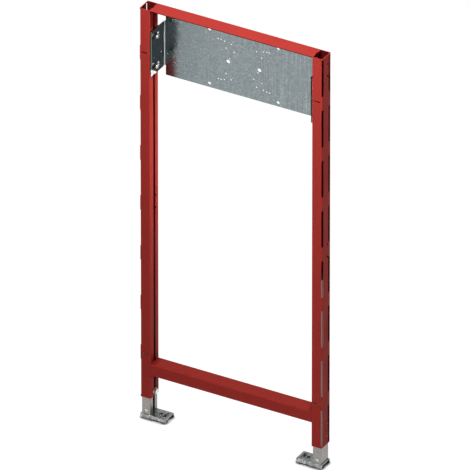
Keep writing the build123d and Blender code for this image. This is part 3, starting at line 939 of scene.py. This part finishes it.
def cross_seams(x, height):
    """Two seams along Y in the corner below or above a rail, left and right of the post's mouth."""
    middle = (POST_LOW.y + POST_HIGH.y) / 2
    wide, tall = (SEAM_HALF, 0, 0), (0, 0, SEAM_HALF)
    return [seam((x, POST_LOW.y + SEAM_END, height), (x, middle - MOUTH_HALF, height), wide, tall),
            seam((x, middle + MOUTH_HALF, height), (x, POST_HIGH.y - SEAM_END, height), wide, tall)]


def upright_seam(x, y, low, high):
    """One seam along Z in a corner of the post."""
    return seam((x, y, low + SEAM_END), (x, y, high - SEAM_END), (SEAM_HALF, 0, 0),
                (0, UPRIGHT_SHARE * SEAM_HALF, 0))


seams = []
for x in (-POST_LOW.x, POST_LOW.x):
    seams += cross_seams(x, RAIL_HIGH.z) + cross_seams(x, TOP_HIGH.z - SHEET)
    seams.append(upright_seam(x, RAIL_LOW.y + SEAM_HALF, RAIL_LOW.z, RAIL_HIGH.z))
    seams.append(upright_seam(x, RAIL_HIGH.y - SEAM_HALF, RAIL_LOW.z, RAIL_HIGH.z))
    seams.append(upright_seam(x, TOP_HIGH.y - SHEET, TOP_LOW.z, TOP_HIGH.z - SHEET))
welds = new_piece("weld_seams", seams, "frame", powder_coat)
print("seams:", len(seams), "triangles:", 2 * len(welds.data.polygons))

# %% [markdown]
# The floor is a plain pale sheet. To the camera and to mirroring metal it shines white by itself, but
# less where the object stands close above it, so it keeps the contact shadow; a part of it is plain matt
# and takes the shadow of the lamps. To all other light it is only a pale matt floor, so it does not light
# the object from below. The floor is laid in two halves that meet in the middle, and each goes with the
# leg that stands on it: a leg that is drawn out still has the floor under its foot.

# %% Floor
FLOOR_SIZE = 120.0
FLOOR_GLOW = 0.97
FLOOR_MATT = srgb(110, 110, 110)
FLOOR_PALE = srgb(215, 215, 215)
CONTACT_REACH = 17 * MM
CONTACT_DARK = 0.6
CONTACT_LIGHT = 0.88
CONTACT_SAMPLES = 12
WHITE = (1.0, 1.0, 1.0, 1.0)


def seen_directly(tree):
    """1 for camera, glossy and transmission rays, and 0 for the light that falls on other things."""
    path = add_node(tree, "ShaderNodeLightPath").outputs
    mirror_or_camera = combine(tree, "MAXIMUM", path["Is Camera Ray"], path["Is Glossy Ray"])
    return combine(tree, "MAXIMUM", mirror_or_camera, path["Is Transmission Ray"])


def make_floor_paint():
    """White glow less the contact shadow plus matt grey for what looks at it, plain pale grey for light."""
    material = bpy.data.materials.new("pale_floor")
    material.use_nodes = True
    tree = material.node_tree
    tree.nodes.clear()
    open_sky = add_node(tree, "ShaderNodeAmbientOcclusion", {"Distance": CONTACT_REACH},
                        samples=CONTACT_SAMPLES).outputs["AO"]
    open_sky = ramp(tree, open_sky, CONTACT_DARK, CONTACT_LIGHT)
    glow = add_node(tree, "ShaderNodeEmission",
                    {"Color": WHITE, "Strength": combine(tree, "MULTIPLY", open_sky, FLOOR_GLOW)})
    matt = add_node(tree, "ShaderNodeBsdfDiffuse", {"Color": FLOOR_MATT})
    shown = add_node(tree, "ShaderNodeAddShader", {0: glow.outputs[0], 1: matt.outputs[0]})
    pale = add_node(tree, "ShaderNodeBsdfDiffuse", {"Color": FLOOR_PALE})
    mixed = add_node(tree, "ShaderNodeMixShader",
                     {0: seen_directly(tree), 1: pale.outputs[0], 2: shown.outputs[0]})
    add_node(tree, "ShaderNodeOutputMaterial", {"Surface": mixed.outputs[0]})
    return material


def make_floor(side, material):
    """One half of the floor: a square cut at X = 0."""
    half = FLOOR_SIZE / 2
    low, high = (-half, 0.0) if side == "left" else (0.0, half)
    mesh = bpy.data.meshes.new(f"{side}_floor")
    corners = [(low, -half, 0), (high, -half, 0), (high, half, 0), (low, half, 0)]
    mesh.from_pydata(corners, [], [(0, 1, 2, 3)])
    mesh.materials.append(material)
    floor = bpy.data.objects.new(f"{side}_floor", mesh)
    bpy.context.collection.objects.link(floor)
    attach(floor, f"{side}_leg_unit")
    return floor


floor_paint = make_floor_paint()
floors = [make_floor(side, floor_paint) for side in SIDES]
print("floor halves:", [tuple(floor.dimensions[:2]) for floor in floors])

# %% [markdown]
# The world is a white room. The camera sees it plain white. Metal sees it white at eye level and below,
# and dim overhead, as in a studio with a dark ceiling: without that, faces that look up would have
# nothing to mirror but white. What falls on the object as light is much weaker; the lamps do the rest.

# %% World
AMBIENT = 0.05
CEILING = 0.46
CEILING_START = 0.12
CEILING_FULL = 0.42


def make_world():
    """White to the camera, white with a dim ceiling to metal, and a weak even light to all else."""
    world = bpy.data.worlds.new("studio")
    bpy.context.scene.world = world
    world.use_nodes = True
    tree = world.node_tree
    tree.nodes.clear()
    towards = add_node(tree, "ShaderNodeTexCoord").outputs["Generated"]
    mirrored = ramp(tree, split_axes(tree, towards)["Z"], CEILING_START, CEILING_FULL, 1.0, CEILING)
    path = add_node(tree, "ShaderNodeLightPath").outputs
    level = add_node(tree, "ShaderNodeMix", {0: path["Is Glossy Ray"], 2: AMBIENT, 3: mirrored}).outputs[0]
    plain = combine(tree, "MAXIMUM", path["Is Camera Ray"], path["Is Transmission Ray"])
    level = add_node(tree, "ShaderNodeMix", {0: plain, 2: level, 3: 1.0}).outputs[0]
    sky = add_node(tree, "ShaderNodeBackground", {"Color": WHITE, "Strength": level})
    add_node(tree, "ShaderNodeOutputWorld", {"Surface": sky.outputs[0]})
    return world


print("world:", make_world().name)

# %% [markdown]
# The photograph's main light stands in front, a little to the right and well above the top rail: the
# posts grow darker downwards, and the left one is dimmer. A lamp straight above brightens the tops of the
# rails, and one from the right keeps the sides readable. The inner side of the left post is as bright as
# a front, so a narrow card of light stands in the opening and faces it. Two low lamps light the back and
# the left side for the other views; they hardly show in this one, and the metal does not mirror them.

# %% Lamps
FULL_SPREAD = 180.0


def area_lamp(name, place, aim, size, watts, height=None, spread=FULL_SPREAD, mirrored=True):
    """A lamp that looks from its place to its aim: a disk, or a rectangle if a height is given."""
    data = bpy.data.lights.new(name, "AREA")
    data.shape = "DISK" if height is None else "RECTANGLE"
    data.size = size
    if height is not None:
        data.size_y = height
    data.energy = watts
    data.spread = math.radians(spread)
    lamp = bpy.data.objects.new(name, data)
    lamp.location = place
    lamp.rotation_euler = (Vector(aim) - Vector(place)).to_track_quat("-Z", "Y").to_euler()
    lamp.visible_camera = False
    lamp.visible_glossy = mirrored
    bpy.context.collection.objects.link(lamp)
    return lamp


lamps = [area_lamp("key", (0.045, -0.7, 2.11), (0, 0, 0.9), 0.5, 19.4),
         area_lamp("overhead", (-0.08, 0.0, 2.03), (-0.08, 0.001, 0), 0.4, 2.4),
         area_lamp("side", (1.1, -0.92, 1.2), (0, 0, 0.7), 0.6, 7.0),
         area_lamp("back", (0.1, 2.0, 0.2), (0, 0, 0.5), 0.8, 8.0, mirrored=False),
         area_lamp("left", (-1.9, 0.2, 0.2), (0, 0, 0.5), 0.8, 7.0, mirrored=False),
         area_lamp("card", (0.2, -0.005, 0.78), (-0.22, -0.005, 0.78), 0.03, 0.42, height=0.5,
                   spread=100.0)]
print("lamps:", [lamp.name for lamp in lamps])

# %% [markdown]
# The photograph has no visible perspective, so the camera stands far off with a long lens. The lens could
# be longer still, or the view orthographic, but then the views from other sides would lose their framing.
# The origin of the frame lies at a known place of the picture, and that sets where the camera aims.

# %% Camera
AZIMUTH = math.radians(29.4)
ELEVATION = math.radians(30.7)
PHOTO_PIXELS = 470
PIXELS_PER_METRE = 426.68
ORIGIN_PIXEL = (237.6, 438.3)
LENS_MM = 1700.0
SENSOR_MM = 36.0


def make_camera():
    """A camera on the line of sight, so far off that the frame has the photograph's scale."""
    level = math.cos(ELEVATION)
    back = Vector((math.sin(AZIMUTH) * level, -math.cos(AZIMUTH) * level, math.sin(ELEVATION)))
    right = Vector((math.cos(AZIMUTH), math.sin(AZIMUTH), 0))
    up = back.cross(right)
    middle = (cad_box[0] + cad_box[1]) / 2
    aim = (right * (PHOTO_PIXELS / 2 - ORIGIN_PIXEL[0]) / PIXELS_PER_METRE
           + up * (ORIGIN_PIXEL[1] - PHOTO_PIXELS / 2) / PIXELS_PER_METRE
           + back * middle.dot(back))
    distance = PHOTO_PIXELS / PIXELS_PER_METRE * LENS_MM / SENSOR_MM
    data = bpy.data.cameras.new("camera")
    data.lens = LENS_MM
    data.sensor_width = SENSOR_MM
    data.clip_end = distance * 2
    camera = bpy.data.objects.new("camera", data)
    camera.location = aim + back * distance
    camera.rotation_euler = back.to_track_quat("Z", "Y").to_euler()
    bpy.context.collection.objects.link(camera)
    bpy.context.scene.camera = camera
    return distance


print("camera distance:", round(make_camera(), 2))
bpy.context.scene.view_settings.view_transform = "Standard"
